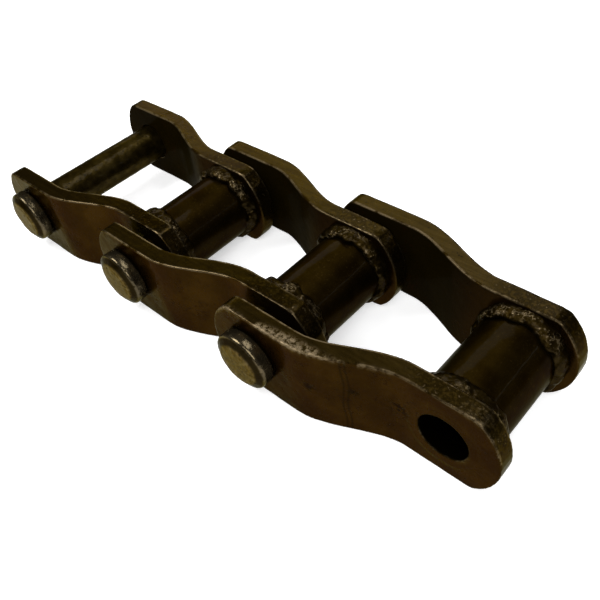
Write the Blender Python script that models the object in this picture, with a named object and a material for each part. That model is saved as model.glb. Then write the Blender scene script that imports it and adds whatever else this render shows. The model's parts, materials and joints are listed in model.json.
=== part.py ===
"""Three-link strand of welded steel drag chain with cranked sidebars and headed pins.

Every link is the same: two cranked sidebars stand apart at the wide end, close in on a round
barrel at the narrow end, and are welded to it.  The pin sits fast in the wide end and turns in the
barrel of the link before it.  Units are metres.  +X runs along the strand from the free pin to the
open barrel, -Y is the side of the pin heads and +Z is up.  The origin is on the surface that the
strand lies on, under the middle of its bounding box.
"""

import math

import bmesh
import bpy
from mathutils import Matrix, Vector

# Driving dimensions of one link
PITCH = 0.0781              # from pin axis to pin axis
LINKS = 3
PLATE_HEIGHT = 0.0397       # sidebars, top edge to bottom edge
PLATE_THICKNESS = 0.0078
WIDE_HALF_GAP = 0.0343      # mid-plane to a sidebar's inner face, around the pin
NARROW_HALF_GAP = 0.0214    # the same, beside the barrel
WIDE_END_REACH = 0.0203     # sidebar's end beyond the pin axis
NARROW_END_REACH = 0.0218   # sidebar's end beyond the barrel axis
END_RADIUS = 0.0250         # arc of both sidebar ends
CRANK_START = 0.0204        # the bend of a sidebar, measured along X from the pin axis
CRANK_END = 0.0634
BARREL_RADIUS = 0.0160
BORE_RADIUS = 0.0098
PIN_RADIUS = 0.0095
HEAD_RADIUS = 0.0129        # the pin's head is a thick rim with a blunt cone down to a flat face
HEAD_FACE_RADIUS = 0.0093
HEAD_RIM = 0.0054
HEAD_THICKNESS = 0.0076
RIVET_RADIUS = 0.0114       # the pin's hammered far end
RIVET_THICKNESS = 0.0036
WELD_RISE = 0.0029          # how far a weld climbs the sidebar
WELD_RUN = 0.0050           # how far it runs along the barrel

# Fits and finish of the mesh
GAP = 0.0003                # between pieces that touch
EDGE_BEVEL = 0.0009
HEAD_CHAMFER = 0.0006
CRANK_STEPS = 8
ARC_STEPS = 10
ROUND_STEPS = 36
WELD_STEPS = 14
WELD_LUMPS = 7              # ripples along one weld pass
WELD_LUMP_SIZE = 0.06
WELD_END_ANGLE = math.radians(7.0)
SHARP_ANGLE = math.radians(35.0)

# Places that follow from them
HALF_HEIGHT = PLATE_HEIGHT / 2
STRAND_LENGTH = WIDE_END_REACH + LINKS * PITCH + NARROW_END_REACH
FIRST_PIN_X = WIDE_END_REACH - STRAND_LENGTH / 2
MID_PLANE_Y = (HEAD_THICKNESS - RIVET_THICKNESS) / 2
WELD_ROOT_RADIUS = BARREL_RADIUS + GAP

SIDES = {"near": -1.0, "far": 1.0}
PASSES = {"upper": 0.0, "lower": math.pi}


def clear_objects():
    for old in list(bpy.data.objects):
        bpy.data.objects.remove(old, do_unlink=True)


def make_finish(name, colour, roughness, metallic):
    finish = bpy.data.materials.new(name)
    finish.use_nodes = True
    shader = finish.node_tree.nodes["Principled BSDF"]
    shader.inputs["Base Color"].default_value = (*colour, 1.0)
    shader.inputs["Roughness"].default_value = roughness
    shader.inputs["Metallic"].default_value = metallic
    return finish


def add_object(name, shape, finish, link_axis):
    """Turn a bmesh into an object on a link's axis, shaded smooth up to its sharp edges."""
    bmesh.ops.recalc_face_normals(shape, faces=shape.faces)
    mesh = bpy.data.meshes.new(name)
    shape.to_mesh(mesh)
    shape.free()
    mesh.shade_smooth()
    mesh.set_sharp_from_angle(angle=SHARP_ANGLE)
    mesh.materials.append(finish)
    piece = bpy.data.objects.new(name, mesh)
    bpy.context.scene.collection.objects.link(piece)
    piece.parent = link_axis
    return piece


def add_link_axis(number):
    """An empty on the pin axis of one link, which carries all of that link's pieces."""
    axis = bpy.data.objects.new(f"link_{number}_axis", None)
    axis.empty_display_size = PITCH / 4
    axis.location = (FIRST_PIN_X + (number - 1) * PITCH, MID_PLANE_Y, HALF_HEIGHT)
    bpy.context.scene.collection.objects.link(axis)
    return axis


def end_arc(tip_x, direction):
    """Side-view points of a sidebar's rounded end, from its lower corner to its upper one."""
    centre_x = tip_x - direction * END_RADIUS
    corner_angle = math.asin(HALF_HEIGHT / END_RADIUS)
    points = []
    for step in range(ARC_STEPS + 1):
        angle = corner_angle * (2 * step / ARC_STEPS - 1)
        x = centre_x + direction * END_RADIUS * math.cos(angle)
        points.append((x, END_RADIUS * math.sin(angle)))
    return points


def centre_half_gap(x):
    """Distance of a sidebar's middle layer from the mid-plane, at x along the link."""
    t = (x - CRANK_START) / (CRANK_END - CRANK_START)
    t = min(max(t, 0.0), 1.0)
    ease = t * t * (3 - 2 * t)
    inner = WIDE_HALF_GAP + (NARROW_HALF_GAP - WIDE_HALF_GAP) * ease
    return inner + PLATE_THICKNESS / 2


def add_hole_cutter(name, radius, x, link_axis):
    """A hidden rod across both sidebars, for the Booleans that drill them."""
    shape = bmesh.new()
    bmesh.ops.create_cone(
        shape,
        cap_ends=True,
        segments=ROUND_STEPS,
        radius1=radius,
        radius2=radius,
        depth=2 * (WIDE_HALF_GAP + 2 * PLATE_THICKNESS),
        matrix=Matrix.Rotation(math.pi / 2, 4, "X"),
    )
    mesh = bpy.data.meshes.new(name)
    shape.to_mesh(mesh)
    shape.free()
    cutter = bpy.data.objects.new(name, mesh)
    cutter.location = (x, 0.0, 0.0)
    cutter.parent = link_axis
    cutter.hide_render = True
    cutter.display_type = "WIRE"
    bpy.context.scene.collection.objects.link(cutter)
    return cutter


def make_sidebar(name, side, cutters, finish, link_axis):
    """A sheet with round ends, bent over like the bar's middle layer, thickened and drilled."""
    wide_end = end_arc(-WIDE_END_REACH, -1.0)
    narrow_end = end_arc(PITCH + NARROW_END_REACH, 1.0)
    outline = narrow_end + list(reversed(wide_end))

    shape = bmesh.new()
    shape.faces.new([shape.verts.new((x, 0.0, z)) for x, z in outline])
    for step in range(CRANK_STEPS + 1):
        x = CRANK_START + (CRANK_END - CRANK_START) * step / CRANK_STEPS
        everything = list(shape.verts) + list(shape.edges) + list(shape.faces)
        bmesh.ops.bisect_plane(shape, geom=everything, plane_co=(x, 0.0, 0.0), plane_no=(1.0, 0.0, 0.0))
    for vert in shape.verts:
        vert.co.y = side * centre_half_gap(vert.co.x)

    sidebar = add_object(name, shape, finish, link_axis)
    plate = sidebar.modifiers.new("thickness", "SOLIDIFY")
    plate.thickness = PLATE_THICKNESS
    plate.offset = 0.0
    plate.use_even_offset = True
    bevel = sidebar.modifiers.new("edges", "BEVEL")
    bevel.width = EDGE_BEVEL
    bevel.segments = 1
    bevel.limit_method = "ANGLE"
    bevel.angle_limit = math.radians(60.0)
    for cutter in cutters:
        drill = sidebar.modifiers.new(cutter.name, "BOOLEAN")
        drill.operation = "DIFFERENCE"
        drill.solver = "EXACT"
        drill.object = cutter
    return sidebar


def turn_profile(profile, closed):
    """Spin a profile of (radius, y) points about the Y axis into a closed body."""
    shape = bmesh.new()
    verts = [shape.verts.new((radius, y, 0.0)) for radius, y in profile]
    pairs = list(zip(verts, verts[1:]))
    if closed:
        pairs.append((verts[-1], verts[0]))
    edges = [shape.edges.new(pair) for pair in pairs]
    bmesh.ops.spin(
        shape,
        geom=verts + edges,
        cent=(0.0, 0.0, 0.0),
        axis=(0.0, 1.0, 0.0),
        angle=math.tau,
        steps=ROUND_STEPS,
        use_merge=True,
    )
    bmesh.ops.remove_doubles(shape, verts=shape.verts, dist=0.000001)
    return shape


def make_barrel(name, finish, link_axis):
    """The tube that the next pin turns in, butted between the narrow ends of the sidebars."""
    end = NARROW_HALF_GAP - GAP
    profile = [(BORE_RADIUS, -end), (BARREL_RADIUS, -end), (BARREL_RADIUS, end), (BORE_RADIUS, end)]
    barrel = add_object(name, turn_profile(profile, closed=True), finish, link_axis)
    barrel.location.x = PITCH
    return barrel


def make_pin(name, finish, link_axis):
    """Head on the near side, straight shank, and a far end hammered over like a rivet."""
    seat = WIDE_HALF_GAP + PLATE_THICKNESS + GAP
    head_face = -seat - HEAD_THICKNESS
    rivet_face = seat + RIVET_THICKNESS
    profile = [
        (0.0, head_face),
        (HEAD_FACE_RADIUS - HEAD_CHAMFER, head_face),
        (HEAD_FACE_RADIUS, head_face + HEAD_CHAMFER),
        (HEAD_RADIUS, -seat - HEAD_RIM),
        (HEAD_RADIUS, -seat),
        (PIN_RADIUS, -seat),
        (PIN_RADIUS, seat),
        (RIVET_RADIUS, seat),
        (RIVET_RADIUS * 0.95, seat + RIVET_THICKNESS * 0.45),
        (RIVET_RADIUS * 0.72, seat + RIVET_THICKNESS * 0.85),
        (RIVET_RADIUS * 0.36, rivet_face),
        (0.0, rivet_face),
    ]
    return add_object(name, turn_profile(profile, closed=False), finish, link_axis)


def weld_section(size):
    """Fillet in (radius, distance from the sidebar), with a crown that bulges a little."""
    rise = WELD_RISE * size
    run = WELD_RUN * size
    return [
        (WELD_ROOT_RADIUS, 0.0),
        (WELD_ROOT_RADIUS + rise, 0.0),
        (WELD_ROOT_RADIUS + rise * 0.82, run * 0.42),
        (WELD_ROOT_RADIUS + rise * 0.42, run * 0.82),
        (WELD_ROOT_RADIUS, run),
    ]


def make_weld(name, side, start_angle, finish, link_axis):
    """One weld pass: half way round the barrel, in the corner that it makes with a sidebar."""
    face_y = NARROW_HALF_GAP - GAP
    shape = bmesh.new()
    rings = []
    for step in range(WELD_STEPS + 1):
        along = step / WELD_STEPS
        angle = start_angle + WELD_END_ANGLE + (math.pi - 2 * WELD_END_ANGLE) * along
        lump = 1 + WELD_LUMP_SIZE * math.cos(math.tau * WELD_LUMPS * along / 2)
        feather = 0.7 + 0.3 * min(1.0, 5 * along, 5 * (1 - along))
        ring = []
        for radius, offset in weld_section(lump * feather):
            x = radius * math.cos(angle)
            z = radius * math.sin(angle)
            ring.append(shape.verts.new((x, side * (face_y - offset), z)))
        rings.append(ring)
    count = len(rings[0])
    for ring, following in zip(rings, rings[1:]):
        for i in range(count):
            j = (i + 1) % count
            shape.faces.new((ring[i], ring[j], following[j], following[i]))
    shape.faces.new(rings[0])
    shape.faces.new(rings[-1])
    weld = add_object(name, shape, finish, link_axis)
    weld.location.x = PITCH
    return weld


def make_link(number, finishes):
    axis = add_link_axis(number)
    cutters = [
        add_hole_cutter(f"link_{number}_pin_hole_cutter", PIN_RADIUS + GAP, 0.0, axis),
        add_hole_cutter(f"link_{number}_bore_cutter", BORE_RADIUS, PITCH, axis),
    ]
    for side_name, side in SIDES.items():
        make_sidebar(f"link_{number}_{side_name}_sidebar", side, cutters, finishes["plate"], axis)
        for pass_name, start_angle in PASSES.items():
            weld_name = f"link_{number}_{side_name}_{pass_name}_weld"
            make_weld(weld_name, side, start_angle, finishes["weld"], axis)
    make_barrel(f"link_{number}_barrel", finishes["barrel"], axis)
    make_pin(f"link_{number}_pin", finishes["pin"], axis)


def main():
    clear_objects()
    finishes = {
        "plate": make_finish("oiled_plate_steel", (0.045, 0.033, 0.017), 0.42, 0.8),
        "barrel": make_finish("oiled_tube_steel", (0.032, 0.024, 0.013), 0.38, 0.8),
        "weld": make_finish("weld_metal", (0.060, 0.046, 0.026), 0.50, 0.8),
        "pin": make_finish("worn_pin_steel", (0.085, 0.062, 0.030), 0.45, 0.85),
    }
    for number in range(1, LINKS + 1):
        make_link(number, finishes)


main()
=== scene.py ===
# %% [markdown]
# # A short strand of welded drag chain
#
# Three links of heavy steel chain lie on a white table.  Each link is two cranked flat bars, welded
# to a round barrel at the narrow end, with a headed pin fast in the wide end.  The imported part gives
# every size and every hinge; this file makes the surfaces that are seen: rounded sheared edges,
# rough weld beads, hammered pin heads, and dark oily steel that is rubbed bright where it is touched.
# Some highlights and shade are also painted into the steel's colour.

import json
import math
import random

import bmesh
import bpy
import numpy as np
from mathutils import Matrix, Vector


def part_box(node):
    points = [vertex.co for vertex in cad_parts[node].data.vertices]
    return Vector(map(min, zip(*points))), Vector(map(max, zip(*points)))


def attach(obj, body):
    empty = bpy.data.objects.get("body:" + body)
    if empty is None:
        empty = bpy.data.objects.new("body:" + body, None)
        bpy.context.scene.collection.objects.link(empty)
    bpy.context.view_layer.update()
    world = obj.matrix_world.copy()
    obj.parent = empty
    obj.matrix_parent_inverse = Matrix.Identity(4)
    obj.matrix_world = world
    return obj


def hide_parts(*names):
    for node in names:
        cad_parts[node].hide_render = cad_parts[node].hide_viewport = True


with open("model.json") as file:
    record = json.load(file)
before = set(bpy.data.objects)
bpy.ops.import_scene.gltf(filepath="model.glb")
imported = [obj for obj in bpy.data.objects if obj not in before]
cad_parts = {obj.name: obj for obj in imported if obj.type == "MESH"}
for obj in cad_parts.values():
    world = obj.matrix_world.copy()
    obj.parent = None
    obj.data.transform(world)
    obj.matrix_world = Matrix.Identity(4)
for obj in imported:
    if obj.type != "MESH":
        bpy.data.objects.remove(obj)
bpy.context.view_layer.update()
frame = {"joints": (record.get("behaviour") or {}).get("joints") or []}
MM = 0.001

bpy.ops.object.select_all(action="DESELECT")

# %% [markdown]
# ## The measures of one link
#
# Nearly everything follows from the frame: the hinges give the pitch and the height of the pins, and
# the boxes of the pieces give the bars, the barrel and the weld beads.  Only a few sizes can't be
# read from a box, such as a bar's thickness and where its bend starts, so they are named here.

# %% Measures
PLATE_THICKNESS = 7.8 * MM
END_RADIUS = 25.0 * MM
CORNER_ROUNDING = 3.0 * MM
EDGE_ROUNDING = 1.3 * MM
CRANK_START = 20.4 * MM
CRANK_END = 63.4 * MM
PIN_RADIUS = 9.5 * MM
BORE_RADIUS = 9.8 * MM
TUBE_CHAMFER = 0.6 * MM
HEAD_FACE_RADIUS = 9.3 * MM
HEAD_RIM = 5.4 * MM
FIT_GAP = 0.3 * MM
SHARP = math.radians(55)

hinges = [Vector(joint["pos_m"]) for joint in frame["joints"]]
PITCH = hinges[1].x - hinges[0].x
MID_Y, PIN_Z = hinges[0].y, hinges[0].z
FIRST_PIN_X = hinges[0].x - PITCH
LINKS = len(hinges) + 1

bar_low, bar_high = (Vector(corner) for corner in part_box("link_1_near_sidebar"))
barrel_low, barrel_high = (Vector(corner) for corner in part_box("link_1_barrel"))
pin_low, pin_high = (Vector(corner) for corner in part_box("link_1_pin"))
HALF_HEIGHT = (bar_high.z - bar_low.z) / 2
WIDE_CENTRE = MID_Y - bar_low.y - PLATE_THICKNESS / 2
NARROW_CENTRE = MID_Y - bar_high.y + PLATE_THICKNESS / 2
BARREL_RADIUS = (barrel_high.z - barrel_low.z) / 2
HEAD_RADIUS = (pin_high.z - pin_low.z) / 2

print(f"pitch {PITCH / MM:.2f}, barrel {2 * BARREL_RADIUS / MM:.1f}, "
      f"head {2 * HEAD_RADIUS / MM:.1f} mm across")
print(f"bar centres {WIDE_CENTRE / MM:.2f} and {NARROW_CENTRE / MM:.2f} mm from the middle plane")

# %% [markdown]
# ## Working by hand, in code
#
# The helpers below do what a hand does in the viewport: pick one object, enter edit mode, select
# what lies at some place, and apply a modifier.  Operators act on everything that is selected, so
# each helper first makes its own piece the only one.

# %% Helpers for picking and editing
def take(piece):
    """Make one piece the only selected object, and the active one."""
    bpy.ops.object.select_all(action="DESELECT")
    piece.select_set(True)
    bpy.context.view_layer.objects.active = piece


def start_editing(name):
    """Name the primitive that was just added, fix its place in its mesh and open it."""
    piece = bpy.context.object
    piece.name = piece.data.name = name
    bpy.ops.object.transform_apply(location=True, rotation=True, scale=True)
    bpy.ops.object.mode_set(mode="EDIT")
    bpy.ops.mesh.select_all(action="DESELECT")
    return piece


def stop_editing():
    """Turn all faces outwards and leave edit mode."""
    bpy.ops.mesh.select_all(action="SELECT")
    bpy.ops.mesh.normals_make_consistent(inside=False)
    bpy.ops.object.mode_set(mode="OBJECT")


def pick(piece, kind, test):
    """Select the vertices or faces of the open mesh for which test(element) is true."""
    bpy.ops.mesh.select_mode(type={"verts": "VERT", "faces": "FACE"}[kind])
    bpy.ops.mesh.select_all(action="DESELECT")
    shape = bmesh.from_edit_mesh(piece.data)
    for element in getattr(shape, kind):
        if test(element):
            element.select_set(True)
    bmesh.update_edit_mesh(piece.data)


def modify(piece, kind, **settings):
    """Add one modifier, set it and apply it."""
    take(piece)
    step = piece.modifiers.new(kind.title(), kind)
    for key, value in settings.items():
        setattr(step, key, value)
    bpy.ops.object.modifier_apply(modifier=step.name)


def copy_of(piece, name, shift):
    """A copy with its own mesh, moved along by the shift."""
    take(piece)
    bpy.ops.object.duplicate(linked=False)
    copy = bpy.context.object
    copy.name = copy.data.name = name
    bpy.ops.transform.translate(value=shift)
    bpy.ops.object.transform_apply(location=True, rotation=False, scale=False)
    return copy


def flipped(piece, name):
    """A copy mirrored over the middle plane, with its faces turned outwards again."""
    take(piece)
    bpy.ops.object.duplicate(linked=False)
    copy = bpy.context.object
    copy.name = copy.data.name = name
    bpy.ops.transform.resize(value=(1, -1, 1), center_override=(0, MID_Y, PIN_Z))
    bpy.ops.object.transform_apply(location=True, rotation=False, scale=True)
    bpy.ops.object.mode_set(mode="EDIT")
    stop_editing()
    return copy


# %% [markdown]
# ## Light, table and camera
#
# The strand is shown as in a parts catalogue: seen from above one corner, on a pure white sheet.
# Steel shows little of its own colour; it shows what it mirrors.  The near faces mirror the sheet,
# the top edges mirror whatever stands behind the strand, and the round barrels show every lamp as
# a long soft stripe.  So the room is kept dim, and a few soft lamps stand where a bright edge or a
# stripe should be.

# %% Table
TABLE_SIZE = 6.0
TABLE_GAP = 0.2 * MM
bpy.ops.mesh.primitive_plane_add(size=1, location=(0, 0, -TABLE_GAP))
table = start_editing("table")
bpy.ops.mesh.select_all(action="SELECT")
bpy.ops.transform.resize(value=(TABLE_SIZE, TABLE_SIZE, 1))
bpy.ops.mesh.subdivide(number_cuts=3)
stop_editing()

# %% Camera
CAMERA_AZIMUTH = math.radians(48.97)
CAMERA_ELEVATION = math.radians(44.93)
CAMERA_ROLL = math.radians(-9.34)
CAMERA_DISTANCE = 280.8 * MM
CAMERA_TARGET = Vector((31.1, -4.65, 15.6)) * MM
FOCAL_LENGTH = 40.13
SENSOR_WIDTH = 36.0

backwards = Vector((
    math.sin(CAMERA_AZIMUTH) * math.cos(CAMERA_ELEVATION),
    -math.cos(CAMERA_AZIMUTH) * math.cos(CAMERA_ELEVATION),
    math.sin(CAMERA_ELEVATION),
))
level = (-backwards).cross(Vector((0, 0, 1))).normalized()
upright = level.cross(-backwards)
right = level * math.cos(CAMERA_ROLL) + upright * math.sin(CAMERA_ROLL)
up = upright * math.cos(CAMERA_ROLL) - level * math.sin(CAMERA_ROLL)

bpy.ops.object.camera_add()
camera = bpy.context.object
camera.name = "camera"
camera.data.lens = FOCAL_LENGTH
camera.data.sensor_width = SENSOR_WIDTH
turn = Matrix((right, up, backwards)).transposed().to_4x4()
camera.matrix_world = Matrix.Translation(CAMERA_TARGET + backwards * CAMERA_DISTANCE) @ turn
bpy.context.scene.camera = camera
bpy.context.scene.view_settings.view_transform = "Standard"


# %% Lamps
def add_lamp(name, direction, distance, width, height, power, roll):
    """A soft rectangular lamp in some direction from the strand, facing it, rolled by some degrees."""
    bpy.ops.object.light_add(type="AREA")
    lamp = bpy.context.object
    lamp.name = name
    lamp.data.shape = "RECTANGLE"
    lamp.data.size, lamp.data.size_y = width, height
    lamp.data.energy = power
    lamp.visible_camera = False
    way = Vector(direction).normalized()
    facing = way.to_track_quat("Z", "Y").to_matrix().to_4x4()
    rolled = Matrix.Rotation(math.radians(roll), 4, "Z")
    lamp.matrix_world = Matrix.Translation(CAMERA_TARGET + way * distance) @ facing @ rolled


def watts(radiance, width, height):
    """Power that makes a rectangular lamp that bright, where 1 is the white of the sheet."""
    return radiance * math.pi * width * height


for name, direction, distance, width, height, radiance, roll in (
    ("key_lamp", (0.50, -0.42, 0.76), 1.2, 0.80, 0.80, 5.6, 0),
    ("back_lamp", (-0.51, 0.62, 0.595), 0.98, 1.10, 0.20, 4.6, -29),
    ("top_lamp", (0.05, 0.32, 0.94), 0.9, 0.50, 0.14, 8.0, 0),
    ("left_strip", (-0.81, 0.58, 0.08), 0.9, 0.35, 0.03, 5.0, 0),
    ("right_strip", (0.68, 0.58, 0.44), 0.9, 0.40, 0.03, 6.0, 0),
    ("edge_lamp", (-0.50, -0.26, 0.82), 0.9, 0.40, 0.40, 12.0, 0),
):
    add_lamp(name, direction, distance, width, height, watts(radiance, width, height), roll)

# %% Room
room = bpy.data.worlds.new("room")
bpy.context.scene.world = room
room.use_nodes = True
ROOM_GREY = 0.16
room.node_tree.nodes["Background"].inputs["Color"].default_value = (ROOM_GREY, ROOM_GREY, ROOM_GREY, 1)
room.node_tree.nodes["Background"].inputs["Strength"].default_value = 1.0


# %% [markdown]
# ## A small language for surfaces
#
# A finish is a sum of many thin layers, such as grain, stains, scratches and worn edges.  Written
# node by node that is long, so a small class wraps a socket and lets Python's own operators add the
# Math nodes: `grain * 0.4 + 1 - stain` becomes three nodes.

# %% Values that can be added and multiplied
class Value:
    """One output socket of a finish, with arithmetic."""

    def __init__(self, finish, socket):
        self.finish = finish
        self.socket = socket

    def combine(self, operation, first, second):
        """One Math node on two values."""
        return self.finish.node("Math", {"operation": operation}, {0: first, 1: second})

    def __add__(self, other):
        return self.combine("ADD", self, other)

    def __radd__(self, other):
        return self.combine("ADD", other, self)

    def __sub__(self, other):
        return self.combine("SUBTRACT", self, other)

    def __rsub__(self, other):
        return self.combine("SUBTRACT", other, self)

    def __mul__(self, other):
        return self.combine("MULTIPLY", self, other)

    def __rmul__(self, other):
        return self.combine("MULTIPLY", other, self)

    def between(self, low, high):
        """0 below low, 1 above high, with a soft step between them."""
        return self.finish.node("MapRange", {"interpolation_type": "SMOOTHSTEP"}, {
            "Value": self, "From Min": low, "From Max": high})


class Finish:
    """A material, with one method that adds any node and a few short ones on top of it."""

    def __init__(self, name):
        self.material = bpy.data.materials.new(name)
        self.material.use_nodes = True
        self.tree = self.material.node_tree
        self.shader = self.tree.nodes["Principled BSDF"]

    def node(self, kind, settings=None, sockets=None, output=0):
        """Add one node, set it up and give back one of its outputs."""
        made = self.tree.nodes.new("ShaderNode" + kind)
        for key, setting in (settings or {}).items():
            setattr(made, key, setting)
        for key, value in (sockets or {}).items():
            self.plug(made.inputs[key], value)
        return Value(self, made.outputs[output])

    def plug(self, socket, value):
        """Link a value to a socket, or set a constant on it."""
        if isinstance(value, Value):
            self.tree.links.new(value.socket, socket)
        else:
            socket.default_value = value

    def place(self, stretch=(1, 1, 1), shift=(0, 0, 0)):
        """Object coordinates, stretched so that a pattern on them gets longer one way."""
        raw = self.node("TexCoord", output="Object")
        return self.node("Mapping", {"vector_type": "POINT"}, {
            "Vector": raw, "Scale": stretch, "Location": shift})

    def noise(self, size, detail=3.0, rough=0.55, stretch=(1, 1, 1), shift=(0, 0, 0)):
        """Cloudy grey from 0 to 1, with lumps of about that size in metres."""
        where = self.place(stretch, shift)
        return self.node("TexNoise", None, {
            "Vector": where, "Scale": 1 / size, "Detail": detail, "Roughness": rough})

    def specks(self, size):
        """Distance to the nearest of many scattered points, 0 at a point."""
        return self.node("TexVoronoi", None, {"Vector": self.place(), "Scale": 1 / size})

    def painted(self, name):
        """A grey that was painted on the mesh's own points."""
        return self.node("Attribute", {"attribute_name": name}, output="Fac")

    def blend(self, amount, first, second):
        """One colour where amount is 0 and another where it is 1."""
        return self.node("Mix", {"data_type": "RGBA"}, {0: amount, 6: first, 7: second}, output=2)

    def bump(self, height, depth):
        """Small relief, depth metres high."""
        return self.node("Bump", None, {"Height": height, "Distance": depth, "Strength": 1.0})

    def set(self, **values):
        """Feed the shader's inputs, each named in lower case with underscores."""
        for key, value in values.items():
            self.plug(self.shader.inputs[key.replace("_", " ").title().replace("Ior", "IOR")], value)


def colour(red, green, blue):
    return (red, green, blue, 1.0)


# %% [markdown]
# ## White table
#
# A catalogue sheet is lit until it is white all over.  A lamp under a frosted sheet does that: the
# sheet glows a little by itself, and the strand leaves only a faint shade where it touches.

# %% Table finish
SHEET_GLOW = 0.50
sheet_finish = Finish("white_sheet")
weave = sheet_finish.noise(0.02)
sheet_finish.set(
    base_color=sheet_finish.blend(weave, colour(0.80, 0.80, 0.80), colour(0.82, 0.82, 0.82)),
    roughness=0.8,
    emission_color=colour(1, 1, 1),
    emission_strength=SHEET_GLOW,
)
table.data.materials.append(sheet_finish.material)

# %% [markdown]
# ## Bar steel
#
# The bars were hot-rolled, sheared, bent and oiled.  Their skin is a thin dark brown film on steel:
# it mirrors softly and tints what it mirrors.  Bare metal turns white where it is seen at a flat
# angle, but oiled steel stays brown there, so the tint of that flat mirroring is set too.  One colour
# for it all would look like paint.  So layers are laid one on the other: the film, painted shade on the
# inner sides, rust, rubbed edges with a painted highlight on the up-facing ones, a scraped patch, weld
# spatter, and painted shade in the bores.

# %% What all the oiled steel shares
EDGE_TINT = colour(0.49, 0.478, 0.395)
# near-black used as painted shade in the bores
BORE_SHADE = colour(0.0012, 0.0008, 0.0002)
OILED = {"specular_tint": EDGE_TINT, "specular_ior_level": 0.0}

# %% Bar finish: the film and the rolled edges
bar_finish = Finish("oiled_bar_steel")
cloud = bar_finish.noise(16 * MM, 3.0)
mottle = bar_finish.noise(3.5 * MM, 5.0, 0.6)
grain = bar_finish.noise(0.5 * MM, 3.0)
scratch = bar_finish.noise(1.1 * MM, 3.0, 0.7, stretch=(2.2, 2.2, 0.12))
streak = bar_finish.noise(1.8 * MM, 3.0, 0.6, stretch=(0.08, 1.6, 1.6))
thin_face = bar_finish.painted("thin_face")
wear = bar_finish.painted("wear")

film = bar_finish.blend(
    cloud.between(0.35, 0.65), colour(0.0145, 0.0066, 0.0004), colour(0.0228, 0.0108, 0.0020))
film = bar_finish.blend(mottle.between(0.52, 0.75) * 0.4, film, colour(0.0105, 0.0048, 0.0005))
film = bar_finish.blend(scratch.between(0.62, 0.80) * 0.30, film, colour(0.060, 0.040, 0.0130))
rolled = bar_finish.blend(
    streak.between(0.25, 0.80), colour(0.0165, 0.0100, 0.0016), colour(0.026, 0.0165, 0.0038))
skin = bar_finish.blend(thin_face, film, rolled)

# %% Bar finish: painted shade on the inner sides, pits and rust
# painted shade: the inner sides between the bars are darkened toward the wide end
inner_shade = bar_finish.painted("inner_side")
skin = bar_finish.blend(inner_shade * 0.9, skin, colour(0.0042, 0.0030, 0.0003))
pit = bar_finish.specks(1.6 * MM).between(0.30, 0.12) * mottle.between(0.56, 0.66)
skin = bar_finish.blend(pit * 0.85, skin, colour(0.004, 0.0024, 0.0004))
cluster = bar_finish.noise(10 * MM, 2.0, shift=(0.3, 0.1, 0.7)).between(0.56, 0.64)
spot = cluster * bar_finish.noise(1.6 * MM, 4.0, 0.6).between(0.52, 0.60) * (1 - thin_face)
skin = bar_finish.blend(spot * 0.6, skin, colour(0.009, 0.0036, 0.0004))
eaten = bar_finish.noise(1.9 * MM, 4.0, 0.6, shift=(0.5, 0.8, 0.3)).between(0.46, 0.52)
rust = bar_finish.painted("rusty") * eaten
skin = bar_finish.blend(rust * 0.9, skin, colour(0.0050, 0.0028, 0.0002))

# %% Bar finish: rubbed edges with a painted highlight, the scraped patch and spatter
# partly edge wear, partly a painted highlight: only up-facing edges are lightened
rub_and_highlight = wear.between(0.45, 0.85) * bar_finish.painted("topside")
rub_and_highlight = rub_and_highlight * bar_finish.noise(7 * MM, 4.0, 0.6).between(0.38, 0.56)
skin = bar_finish.blend(rub_and_highlight * 0.65, skin, colour(0.115, 0.085, 0.045))
flake = bar_finish.noise(1.3 * MM, 6.0, 0.75).between(0.42, 0.60)
flake = flake * bar_finish.noise(7 * MM, 2.0).between(0.30, 0.56)
scrape = bar_finish.painted("scraped") * flake
skin = bar_finish.blend(scrape * 0.85, skin, colour(0.24, 0.183, 0.108))
rough_end = bar_finish.painted("spatter")
blob = bar_finish.noise(1.7 * MM, 3.0, 0.6, shift=(0.9, 0.4, 0.2))
skin = bar_finish.blend(rough_end * blob.between(0.40, 0.52) * 0.75, skin, colour(0.0060, 0.0036, 0.0004))
skin = bar_finish.blend(rough_end * blob.between(0.60, 0.72) * 0.4, skin, colour(0.14, 0.102, 0.052))

# %% Bar finish: the bend's crease, painted shade in the bores and the relief
crease = bar_finish.painted("crease")
skin = bar_finish.blend(crease * 0.6, skin, colour(0.005, 0.0032, 0.0004))
# painted shade: the bore walls are painted near-black
hole = bar_finish.painted("bore")
skin = bar_finish.blend(hole, skin, BORE_SHADE)
relief = grain * 0.12 + mottle * 0.5 + scratch * 0.10 - pit * 0.5 - spot * 0.4 + scrape * 0.8
relief = relief + bar_finish.painted("collar") * 2.0 - crease * 0.8 - rust * 1.6
bar_finish.set(
    base_color=skin,
    metallic=0.9 - inner_shade * 0.8,
    roughness=0.22 + inner_shade * 0.12 + mottle * 0.14 + pit * 0.3 + scrape * 0.12 + hole * 0.3,
    normal=bar_finish.bump(relief, 0.10 * MM),
    coat_weight=0.02 - hole * 0.01 - inner_shade * 0.01,
    coat_roughness=0.10,
    **OILED,
)
print("bar finish:", len(bar_finish.tree.nodes), "nodes")
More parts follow.
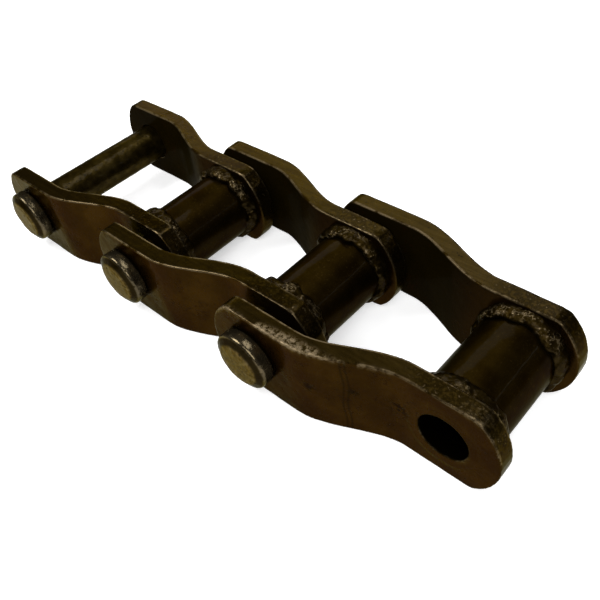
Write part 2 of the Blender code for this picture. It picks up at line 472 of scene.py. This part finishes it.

# %% [markdown]
# ## Barrel steel
#
# The barrel is a piece of drawn tube.  It is smoother and darker than the bars, so lamps show on it
# as long soft stripes, with only dust and faint marks along its length.  The bore and both end faces
# are painted near-black as shade.

# %% Barrel finish
barrel_finish = Finish("oiled_tube_steel")
blotch = barrel_finish.noise(9 * MM, 4.0)
dust = barrel_finish.noise(0.9 * MM, 4.0, 0.6)
drawn = barrel_finish.noise(1.6 * MM, 3.0, 0.6, stretch=(1.5, 0.08, 1.5))
tube = barrel_finish.blend(
    blotch.between(0.3, 0.7), colour(0.0068, 0.0036, 0.0003), colour(0.0118, 0.0068, 0.0008))
tube = barrel_finish.blend(dust.between(0.58, 0.74) * 0.4, tube, colour(0.050, 0.032, 0.0100))
tube_rub = barrel_finish.painted("wear").between(0.4, 0.9) * dust.between(0.35, 0.55)
tube = barrel_finish.blend(tube_rub * 0.6, tube, colour(0.10, 0.075, 0.042))
# painted shade: the bore and both end faces are painted near-black
inside = barrel_finish.painted("bore")
tube = barrel_finish.blend(inside, tube, BORE_SHADE)
barrel_finish.set(
    base_color=tube,
    metallic=0.9,
    roughness=0.31 + blotch * 0.10 + dust * 0.06 + inside * 0.4,
    normal=barrel_finish.bump(drawn * 0.5 + dust * 0.5, 0.05 * MM),
    coat_weight=0.02 - inside * 0.02,
    coat_roughness=0.08,
    **OILED,
)

# %% [markdown]
# ## Weld metal
#
# A weld bead is cast metal with a rippled skin.  It is rougher than the oiled bars, and black where
# slag is left in its hollows.  On its upper side a few flecks, ripple lines and proud edges carry
# painted glints, but only here and there, or the bead would look like lace.

# %% Weld finish
weld_finish = Finish("weld_metal")
lump = weld_finish.noise(2.4 * MM, 5.0, 0.65)
fine = weld_finish.noise(0.7 * MM, 3.0, 0.6)
bead = weld_finish.blend(
    lump.between(0.36, 0.66), colour(0.0080, 0.0046, 0.0005), colour(0.018, 0.0112, 0.0022))
# painted glints: proud edges, flecks and ripple lines are lightened on the upper side only
proud = weld_finish.painted("wear").between(0.15, 0.70) * fine.between(0.62, 0.72)
swirl = weld_finish.noise(5 * MM, 2.5, 0.6)
ripple = swirl.between(0.490, 0.505) * swirl.between(0.535, 0.52)
fleck = weld_finish.noise(1.1 * MM, 2.0, 0.6, shift=(0.3, 0.7, 0.2)).between(0.60, 0.68)
glint = ripple * 0.45 + fleck * 0.8 + proud * 0.6
glint = glint * weld_finish.painted("topside").between(0.3, 0.9)
glint = glint * weld_finish.noise(7 * MM, 1.0, shift=(0.2, 0.5, 0.1)).between(0.44, 0.58)
bead = weld_finish.blend(glint * 0.7, bead, colour(0.22, 0.165, 0.090))
slag = 1 - weld_finish.painted("wear").between(-0.70, -0.20)
bead = weld_finish.blend(slag * 0.9, bead, colour(0.006, 0.004, 0.001))
weld_finish.set(
    base_color=bead,
    metallic=0.9,
    roughness=0.30 + lump * 0.15 + slag * 0.2,
    normal=weld_finish.bump(lump * 0.7 + fine * 0.2 + glint * 0.3, 0.12 * MM),
    coat_weight=0.04,
    coat_roughness=0.12,
    **OILED,
)

# %% [markdown]
# ## Pin steel
#
# A pin is one turned bar with an upset head.  Its head rubs against everything that the chain
# passes, so the face and the rim are pale and dented, with faint hammer rays; the rim is painted
# lighter still as a painted highlight.  The cone between face and rim is painted dark as painted
# shade, and the shank keeps its dark skin.

# %% Pin finish
pin_finish = Finish("worn_pin_steel")
shade = pin_finish.noise(6 * MM, 3.0)
hammer = pin_finish.noise(1.3 * MM, 4.0, 0.6)
face = pin_finish.painted("head_face")
ray = pin_finish.painted("ray")
rim = pin_finish.painted("rim")
bare = pin_finish.blend(
    hammer.between(0.35, 0.65), colour(0.036, 0.0230, 0.0065), colour(0.080, 0.0525, 0.0170))
bare = pin_finish.blend(ray.between(0.45, 0.90) * 0.45, bare, colour(0.13, 0.098, 0.046))
shank = pin_finish.blend(
    shade.between(0.35, 0.70), colour(0.0120, 0.0078, 0.0012), colour(0.030, 0.0205, 0.0050))
# partly wear, partly a painted highlight: the rim is lightened all round
skin = pin_finish.blend(rim * 0.7, shank, colour(0.080, 0.064, 0.038))
# painted shade: the cone between face and rim is darkened
skin = pin_finish.blend(pin_finish.painted("cone") * 0.85, skin, colour(0.0075, 0.0046, 0.0006))
skin = pin_finish.blend(face, skin, bare)
dent = pin_finish.specks(2.4 * MM).between(0.34, 0.16) * hammer.between(0.47, 0.56)
skin = pin_finish.blend(dent * 0.85, skin, colour(0.012, 0.008, 0.0016))
pin_rub = pin_finish.painted("wear").between(0.35, 0.85) * shade.between(0.45, 0.60)
skin = pin_finish.blend(pin_rub * 0.5, skin, colour(0.11, 0.085, 0.046))
pin_finish.set(
    base_color=skin,
    metallic=0.9,
    roughness=0.32 + hammer * 0.10 + dent * 0.2 - rim * 0.17,
    normal=pin_finish.bump(hammer * 0.6 + ray * 0.25 - dent * 0.5, 0.12 * MM),
    coat_weight=0.03,
    coat_roughness=0.10,
    **OILED,
)


# %% [markdown]
# ## Paint that follows the shape
#
# Wear follows the shape: an edge that stands out is rubbed bright, and a hollow keeps its dirt.  So
# after a piece is finished, each point is given a number: how far it stands out from the points
# around it.  That number is stored on the mesh as an attribute, which a finish can read.  The same
# number also places painted highlights on the bars' up-facing edges and on the weld beads.

# %% Painting a mesh's points
def points_of(piece):
    """The places and the normals of all points, as two arrays."""
    mesh = piece.data
    places = np.empty(len(mesh.vertices) * 3)
    mesh.vertices.foreach_get("co", places)
    normals = np.empty(len(mesh.vertices) * 3)
    mesh.vertices.foreach_get("normal", normals)
    return places.reshape(-1, 3), normals.reshape(-1, 3)


def edge_ends(piece):
    """The two points of every edge, as two arrays of numbers."""
    ends = np.empty(len(piece.data.edges) * 2, dtype=np.int32)
    piece.data.edges.foreach_get("vertices", ends)
    return ends[0::2], ends[1::2]


def spread(piece, values, rounds):
    """Average values with their neighbours' along the mesh's edges, so many times."""
    a, b = edge_ends(piece)
    count = len(values)
    degree = np.bincount(a, minlength=count) + np.bincount(b, minlength=count) + 1.0
    for _ in range(rounds):
        total = values.copy()
        total += np.bincount(a, values[b], count) + np.bincount(b, values[a], count)
        values = total / degree
    return values


def paint(piece, name, values):
    """Store one number for each point under a name."""
    layer = piece.data.attributes.new(name, "FLOAT", "POINT")
    layer.data.foreach_set("value", values.astype(np.float32))


def paint_bore(piece, axis_x, with_ends=False):
    """Store 1 where shade is painted: on the wall of the bore along Y at axis_x, and on both ends if
    told.
    """
    places, normals = points_of(piece)
    reach = np.hypot(places[:, 0] - axis_x, places[:, 2] - PIN_Z)
    inwards = (places[:, 0] - axis_x) * normals[:, 0] + (places[:, 2] - PIN_Z) * normals[:, 2]
    on_wall = (reach < BORE_RADIUS + 1.0 * MM) & (inwards < -0.6 * reach)
    if with_ends:
        on_wall |= np.abs(normals[:, 1]) > 0.5
    paint(piece, "bore", spread(piece, on_wall.astype(float), 2))


def paint_wear(piece, sharpest_radius, rounds=3):
    """Store how much each point stands out: 1 on an edge of that radius, below 0 in a hollow."""
    places, normals = points_of(piece)
    a, b = edge_ends(piece)
    across = places[b] - places[a]
    length = np.maximum((across ** 2).sum(1), 1e-12)
    drop_a = -(across * normals[a]).sum(1) / length
    drop_b = (across * normals[b]).sum(1) / length
    count = len(places)
    degree = np.bincount(a, minlength=count) + np.bincount(b, minlength=count)
    curve = (np.bincount(a, drop_a, count) + np.bincount(b, drop_b, count)) / np.maximum(degree, 1)
    paint(piece, "wear", np.clip(spread(piece, curve, rounds) * 4 * sharpest_radius, -1, 1))


# %% [markdown]
# ## Cranked bars
#
# Each bar was cut from flat stock with its two ends sheared to a wide arc, and then bent twice, so
# that it closes in from the fork of one link to the barrel that the next pin turns in.  It could be
# pushed over as a solid, but its thickness would then shrink in the bend.  So the bar starts as a
# sheet without thickness: its ends are trimmed by cuts that touch the arc, it is sliced where it
# bends, and all that lies beyond each slice is pushed over a little more than the last.  Only then
# is it thickened, drilled and rounded.

# %% One flat sheet with round ends
END_CUTS = 15
BEND_SLICES = 20

bar_length = bar_high.x - bar_low.x
bpy.ops.mesh.primitive_plane_add(
    size=1, rotation=(math.pi / 2, 0, 0),
    location=((bar_low.x + bar_high.x) / 2, MID_Y - WIDE_CENTRE, PIN_Z))
bpy.context.object.scale = (bar_length, 2 * HALF_HEIGHT, 1)
bar = start_editing("bar")

corner_angle = math.asin(HALF_HEIGHT / END_RADIUS)
for tip, way in ((bar_low.x, -1), (bar_high.x, 1)):
    middle = Vector((tip - way * END_RADIUS, 0, PIN_Z))
    for cut in range(END_CUTS):
        angle = corner_angle * (2 * cut / (END_CUTS - 1) - 1)
        outward = Vector((way * math.cos(angle), 0, math.sin(angle)))
        bpy.ops.mesh.select_all(action="SELECT")
        bpy.ops.mesh.bisect(plane_co=middle + outward * END_RADIUS, plane_no=outward, clear_outer=True)
pick(bar, "verts", lambda vert: abs(abs(vert.co.z - PIN_Z) - HALF_HEIGHT) < 0.01 * MM)
bpy.ops.mesh.bevel(offset=CORNER_ROUNDING, segments=5, affect="VERTICES")
print("bar outline has", len(bmesh.from_edit_mesh(bar.data).verts), "points")


# %% Bend it over
def bend_share(x):
    """How much of the bend is done at x along the link, from 0 to 1."""
    t = np.clip((x - CRANK_START) / (CRANK_END - CRANK_START), 0, 1)
    return t * t * (3 - 2 * t)


def bar_centre(x):
    """Distance of a bar's middle from the middle plane at x along the link."""
    return WIDE_CENTRE - (WIDE_CENTRE - NARROW_CENTRE) * bend_share(x)


slice_length = (CRANK_END - CRANK_START) / BEND_SLICES
for step in range(BEND_SLICES + 1):
    bpy.ops.mesh.select_all(action="SELECT")
    bpy.ops.mesh.bisect(
        plane_co=(FIRST_PIN_X + CRANK_START + step * slice_length, 0, 0), plane_no=(1, 0, 0))
for step in range(BEND_SLICES):
    start = CRANK_START + step * slice_length
    beyond = FIRST_PIN_X + start + slice_length / 2
    push = (WIDE_CENTRE - NARROW_CENTRE) * (bend_share(start + slice_length) - bend_share(start))
    pick(bar, "verts", lambda vert: vert.co.x > beyond)
    bpy.ops.transform.translate(value=(0, push, 0))
stop_editing()

# %% Thicken, drill and round it
modify(bar, "SOLIDIFY", thickness=PLATE_THICKNESS, offset=0.0, use_even_offset=True)
for place, radius in ((0, PIN_RADIUS + FIT_GAP), (PITCH, BORE_RADIUS)):
    bpy.ops.mesh.primitive_cylinder_add(
        vertices=72, radius=radius, depth=4 * WIDE_CENTRE, rotation=(math.pi / 2, 0, 0),
        location=(FIRST_PIN_X + place, MID_Y, PIN_Z))
    drill = bpy.context.object
    modify(bar, "BOOLEAN", operation="DIFFERENCE", solver="EXACT", object=drill)
    bpy.data.objects.remove(drill)
modify(bar, "BEVEL", width=EDGE_ROUNDING, segments=4, limit_method="ANGLE", angle_limit=SHARP)
print("bar:", len(bar.data.polygons), "faces before its skin")

# %% [markdown]
# The same bar serves all six places.  Sheared steel is never quite flat or straight, so every copy
# gets a fine even mesh and is then pressed in by clouds: slow waves from rolling and small dents from
# handling.  The clouds press inwards far more than outwards, so no bar grows.

# %% The skin of a bar
rolling = bpy.data.textures.new("rolling", "CLOUDS")
rolling.noise_scale, rolling.noise_depth = 9 * MM, 1
denting = bpy.data.textures.new("denting", "CLOUDS")
denting.noise_scale, denting.noise_depth = 3.0 * MM, 2

FINE_GRID = 0.45 * MM


def roughen(piece, *clouds):
    """Give a piece an even fine mesh and press it in by (texture, strength, middle) clouds."""
    modify(piece, "REMESH", mode="VOXEL", voxel_size=FINE_GRID)
    modify(piece, "SMOOTH", factor=0.5, iterations=4)
    for texture, strength, middle in clouds:
        modify(piece, "DISPLACE", texture=texture, texture_coords="LOCAL",
               strength=strength, mid_level=middle)
    take(piece)
    bpy.ops.object.shade_smooth()


# %% [markdown]
# Then the bar's points are painted.  All six bars get the same marks: which faces are thin or look
# up, painted shade on the inner sides between the bars, the weld spatter on the narrow end, a low
# ring pressed round the bore, and painted shade in the bore.  The last link's near bar has seen the
# most: its top edge is scraped bare along one stretch and at one corner, its face has three rust
# pits, and the bend left two fine lines.

# %% Paint on a bar
def paint_bar(piece, number):
    """Paint what all bars have; number is the bar's link."""
    places, normals = points_of(piece)
    along = (places[:, 0] - FIRST_PIN_X - (number - 1) * PITCH) / MM
    looks_up, looks_across = normals[:, 2], np.abs(normals[:, 1])
    # up-facing points, the only places where the painted edge highlight goes
    paint(piece, "topside", (looks_up > 0.2).astype(float))
    paint(piece, "thin_face", spread(piece, (looks_across < 0.6).astype(float), 3))
    # painted shade on the inner sides, strongest at the wide end and gone by the narrow end
    faces_in = (normals[:, 1] * (places[:, 1] - MID_Y) < 0) & (looks_across > 0.6)
    paint(piece, "inner_side", spread(piece, faces_in * np.interp(along, (44, 74), (1, 0)), 3))
    paint(piece, "spatter", spread(piece, np.interp(along, (58, 70), (0, 1)) * (looks_up > 0.35), 3))
    reach = np.hypot(along - PITCH / MM, (places[:, 2] - PIN_Z) / MM)
    paint(piece, "collar", np.exp(-((reach - 13.2) / 1.3) ** 2) * (looks_across > 0.8))
    paint_bore(piece, FIRST_PIN_X + number * PITCH)


SCRAPE_PLACES = (-19, -16, 2, 12, 24, 36, 44)
SCRAPE_BREADTHS = (0, 1.0, 1.2, 3.0, 4.6, 1.6, 0)
SCRAPED_CORNER = 88
BEND_LINES = (41.5, 43.2)
RUST_PITS = ((61, 2, 3.8), (29, 1, 2.6), (45, 4, 2.0))


def paint_hard_use(piece, number):
    """Paint the scraped edge, the bend lines and the rust pits; all sizes here are in mm."""
    places, normals = points_of(piece)
    along = (places[:, 0] - FIRST_PIN_X - (number - 1) * PITCH) / MM
    depth = (places[:, 1] - MID_Y + bar_centre(along * MM) + PLATE_THICKNESS / 2) / MM
    rise = (places[:, 2] - PIN_Z) / MM
    looks_up, looks_near = normals[:, 2] > 0.25, normals[:, 1] < -0.7
    stretch = (depth < np.interp(along, SCRAPE_PLACES, SCRAPE_BREADTHS)) * looks_up * 1.0
    corner = np.exp(-((along - SCRAPED_CORNER) / 3.5) ** 2) * (depth < 5) * looks_up
    paint(piece, "scraped", spread(piece, np.maximum(stretch, 0.8 * corner), 9))
    lines = sum(np.exp(-((along - line - 0.4 * np.sin(300 * places[:, 2])) / 0.35) ** 2)
                for line in BEND_LINES)
    paint(piece, "crease", lines * looks_near)
    pits = sum(np.exp(-(np.hypot(along - at, rise - up) / breadth) ** 2) for at, up, breadth in RUST_PITS)
    paint(piece, "rusty", pits * looks_near)


# %% Copies of the bar, each with its own skin
bars = {}
far_bar = flipped(bar, "far_bar")
for number in range(1, LINKS + 1):
    shift = ((number - 1) * PITCH, 0, 0)
    for side, pattern in (("near", bar), ("far", far_bar)):
        bars[number, side] = copy_of(pattern, f"bar_{number}_{side}", shift)
for pattern in (bar, far_bar):
    bpy.data.objects.remove(pattern)
for (number, side), piece in bars.items():
    roughen(piece, (rolling, 0.24 * MM, 0.75), (denting, 0.10 * MM, 0.70))
    paint_wear(piece, 1.4 * MM)
    paint_bar(piece, number)
    if (number, side) == (LINKS, "near"):
        paint_hard_use(piece, number)
    piece.data.materials.append(bar_finish.material)
print("bars:", sum(len(piece.data.polygons) for piece in bars.values()), "faces")

# %% [markdown]
# ## Barrels
#
# A barrel is a length of thick tube.  It could be turned from a profile, but a cylinder whose two
# ends are inset and joined through the middle gives the same tube with clean long faces, and clean
# faces keep the long stripes of light straight.

# %% One barrel
BARREL_SIDES = 128
BARREL_RINGS = 60
barrel_length = barrel_high.y - barrel_low.y
bpy.ops.mesh.primitive_cylinder_add(
    vertices=BARREL_SIDES, radius=BARREL_RADIUS, depth=barrel_length, rotation=(math.pi / 2, 0, 0),
    location=(FIRST_PIN_X + PITCH, MID_Y, PIN_Z))
barrel = start_editing("barrel")
pick(barrel, "faces", lambda face: abs(face.normal.y) > 0.9)
bpy.ops.mesh.inset(thickness=BARREL_RADIUS - BORE_RADIUS, use_boundary=True)
bpy.ops.mesh.bridge_edge_loops()
for ring in range(1, BARREL_RINGS):
    cut_y = barrel_low.y + barrel_length * ring / BARREL_RINGS
    bpy.ops.mesh.select_all(action="SELECT")
    bpy.ops.mesh.bisect(plane_co=(0, cut_y, 0), plane_no=(0, 1, 0))
stop_editing()
modify(barrel, "BEVEL", width=TUBE_CHAMFER, segments=2, limit_method="ANGLE", angle_limit=SHARP)


# %% Copies of the barrel
def skin_barrel(piece, number):
    """Press a barrel in a little, smooth it and paint it."""
    modify(piece, "DISPLACE", texture=rolling, texture_coords="LOCAL", strength=0.12 * MM, mid_level=1.0)
    take(piece)
    bpy.ops.object.shade_smooth_by_angle(angle=math.radians(40))
    paint_wear(piece, 0.9 * MM, 1)
    # painted shade in the bore and on both end faces
    paint_bore(piece, FIRST_PIN_X + number * PITCH, with_ends=True)
    piece.data.materials.append(barrel_finish.material)


barrels = {}
for number in range(1, LINKS + 1):
    barrels[number] = copy_of(barrel, f"tube_{number}", ((number - 1) * PITCH, 0, 0))
bpy.data.objects.remove(barrel)
for number, piece in barrels.items():
    skin_barrel(piece, number)
print("barrel:", len(barrels[1].data.polygons), "faces each")

# %% [markdown]
# ## Pins
#
# A pin's head was upset from the bar, so it has a thick rim, then a blunt cone and a flat face, and
# its far end was hammered over the hole like a rivet.  On a lathe it would be one profile; here the
# first disc is pushed along and scaled again and again, station by station, which follows the same
# profile.

# %% One pin, turned station by station
PIN_SIDES = 96
seat_near = bar_low.y - FIT_GAP
seat_far = 2 * MID_Y - seat_near
pin_axis = Vector((FIRST_PIN_X, 0, PIN_Z))
rivet_rise = pin_high.y - seat_far
stations = [
    (HEAD_FACE_RADIUS * 0.55, pin_low.y),
    (HEAD_FACE_RADIUS * 0.78, pin_low.y + 0.05 * MM),
    (HEAD_FACE_RADIUS * 0.84, pin_low.y + 0.35 * MM),
    (HEAD_FACE_RADIUS * 0.90, pin_low.y + 0.10 * MM),
    (HEAD_FACE_RADIUS, pin_low.y + 0.35 * MM),
    (HEAD_RADIUS - 1.0 * MM, seat_near - HEAD_RIM - 0.45 * MM),
    (HEAD_RADIUS - 0.2 * MM, seat_near - HEAD_RIM),
    (HEAD_RADIUS, seat_near - HEAD_RIM + 0.6 * MM),
    (HEAD_RADIUS, seat_near - 0.5 * MM),
    (HEAD_RADIUS - 0.5 * MM, seat_near),
    (PIN_RADIUS, seat_near),
    (PIN_RADIUS, seat_far),
    (PIN_RADIUS + 1.6 * MM, seat_far),
    (PIN_RADIUS + 1.9 * MM, seat_far + rivet_rise * 0.30),
    (PIN_RADIUS + 0.8 * MM, seat_far + rivet_rise * 0.68),
    (PIN_RADIUS - 2.0 * MM, seat_far + rivet_rise * 0.93),
    (PIN_RADIUS * 0.35, pin_high.y),
]
radius, y = HEAD_FACE_RADIUS * 0.12, pin_low.y
bpy.ops.mesh.primitive_circle_add(
    vertices=PIN_SIDES, radius=radius, fill_type="NGON", rotation=(math.pi / 2, 0, 0),
    location=(pin_axis.x, y, pin_axis.z))
pin = start_editing("pin")
bpy.ops.mesh.select_all(action="SELECT")
for next_radius, next_y in stations:
    bpy.ops.mesh.extrude_region_move(TRANSFORM_OT_translate={"value": (0, next_y - y, 0)})
    scale = next_radius / radius
    bpy.ops.transform.resize(value=(scale, 1, scale), center_override=(pin_axis.x, next_y, pin_axis.z))
    radius, y = next_radius, next_y
stop_editing()
print(f"pin: {len(stations)} stations, {(pin_high.y - pin_low.y) / MM:.1f} mm long")

# %% Copies of the pin
hammering = bpy.data.textures.new("hammering", "CLOUDS")
hammering.noise_scale, hammering.noise_depth = 3.2 * MM, 2


def paint_pin(piece, number):
    """Paint the parts of the head, and faint rays of hammer marks over its face."""
    places = points_of(piece)[0]
    across, rise = places[:, 0] - FIRST_PIN_X - (number - 1) * PITCH, places[:, 2] - PIN_Z
    off_axis = np.hypot(across, rise)
    past_rim = seat_near - HEAD_RIM
    on_face = (places[:, 1] < past_rim) & (off_axis < HEAD_FACE_RADIUS + 0.2 * MM)
    on_cone = (places[:, 1] < past_rim - 0.2 * MM) & ~on_face
    on_rim = (places[:, 1] < seat_near) & (off_axis > HEAD_RADIUS - 0.6 * MM)
    # the cone is painted dark as shade and the rim lighter as a highlight
    for name, marked in (("cone", on_cone), ("rim", on_rim), ("head_face", on_face)):
        paint(piece, name, spread(piece, marked.astype(float), 2))
    angle = np.arctan2(rise, across)
    rays = sum(np.sin(count * angle + number * count) for count in (7, 12, 19, 31)) / 6 + 0.5
    paint(piece, "ray", spread(piece, np.clip(rays, 0, 1), 1))


pins = {}
for number in range(1, LINKS + 1):
    pins[number] = copy_of(pin, f"turned_pin_{number}", ((number - 1) * PITCH, 0, 0))
bpy.data.objects.remove(pin)
for number, piece in pins.items():
    roughen(piece, (hammering, 0.22 * MM, 0.75))
    paint_wear(piece, 1.4 * MM)
    paint_pin(piece, number)
    piece.data.materials.append(pin_finish.material)
print("pin:", len(pins[1].data.polygons), "faces each")

# %% [markdown]
# ## Weld beads
#
# Each barrel is welded to both bars by an upper and a lower pass.  A pass is a row of small puddles
# of metal that froze one on the edge of the next, and that is how it is made here: a row of
# flattened balls, each turned and sized by chance, is laid in the corner between barrel and bar and
# melted together by a remesh.  Few and even balls would look like rope, so they are many, flat and
# strewn along the barrel.

# %% One weld pass
chance = random.Random(7)
PUDDLES = 30
PUDDLE_SHAPE = (0.72, 1.5, 1.5)
CORNER_REACH = NARROW_CENTRE - PLATE_THICKNESS / 2


def lay_puddle(barrel_x, side, angle):
    """Lay one flattened ball of metal in the corner between barrel and bar."""
    reach = BARREL_RADIUS + (chance.uniform(-0.6, 0.5) + 0.9 * max(math.sin(angle), 0)) * MM
    size = chance.uniform(2.3, 3.3) * MM
    centre = Vector((
        barrel_x + reach * math.cos(angle),
        MID_Y + side * CORNER_REACH - side * chance.uniform(0.3, 2.4) * MM,
        PIN_Z + reach * math.sin(angle),
    ))
    bpy.ops.mesh.primitive_uv_sphere_add(
        segments=20, ring_count=12, radius=size, location=centre,
        rotation=(chance.uniform(-0.5, 0.5), -angle, chance.uniform(-0.5, 0.5)))
    puddle = bpy.context.object
    puddle.scale = PUDDLE_SHAPE
    return puddle


def melted(row, name):
    """Join a row of puddles and melt them into one rough skin."""
    bpy.ops.object.select_all(action="DESELECT")
    for puddle in row:
        puddle.select_set(True)
    bpy.context.view_layer.objects.active = row[0]
    bpy.ops.object.join()
    run = bpy.context.object
    run.name = run.data.name = name
    bpy.ops.object.transform_apply(location=True, rotation=True, scale=True)
    modify(run, "REMESH", mode="VOXEL", voxel_size=0.33 * MM)
    modify(run, "SMOOTH", factor=0.5, iterations=22)
    modify(run, "DISPLACE", texture=hammering, texture_coords="LOCAL",
           strength=0.8 * MM, mid_level=0.6)
    take(run)
    bpy.ops.object.shade_smooth()
    return run


def weld_pass(name, barrel_x, side, start_angle):
    """Lay half a ring of puddles round a barrel, from start_angle on, and paint it."""
    row = []
    for number in range(PUDDLES):
        angle = start_angle + math.pi * (number + 0.5 + chance.uniform(-0.2, 0.2)) / PUDDLES
        row.append(lay_puddle(barrel_x, side, angle))
    run = melted(row, name)
    paint_wear(run, 1.0 * MM, 2)
    places = points_of(run)[0]
    # the upper half of the bead, where the painted glints go
    paint(run, "topside", np.clip((places[:, 2] - PIN_Z) / BARREL_RADIUS, 0, 1))
    run.data.materials.append(weld_finish.material)
    return run


welds = {}
for number in range(1, LINKS + 1):
    for side_name, side in (("near", -1), ("far", 1)):
        for pass_name, start_angle in (("upper", 0.0), ("lower", math.pi)):
            welds[number, side_name, pass_name] = weld_pass(
                f"bead_{number}_{side_name}_{pass_name}",
                FIRST_PIN_X + number * PITCH, side, start_angle)
print("weld bead:", len(welds[1, "near", "upper"].data.polygons), "faces")


# %% [markdown]
# ## Put every piece on its link
#
# Each finished piece stands for one solid of the imported part, which it hides, and moves with its link.

# %% Ride and replace
def stand_in(piece, body, node):
    """Put a piece in the place of one node, on its body."""
    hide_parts(node)
    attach(piece, body)


for number in range(1, LINKS + 1):
    body = f"link_{number}"
    for side in ("near", "far"):
        stand_in(bars[number, side], body, f"{body}_{side}_sidebar")
        for layer in ("upper", "lower"):
            stand_in(welds[number, side, layer], body, f"{body}_{side}_{layer}_weld")
    stand_in(barrels[number], body, f"{body}_barrel")
    stand_in(pins[number], body, f"{body}_pin")

bpy.ops.object.select_all(action="DESELECT")
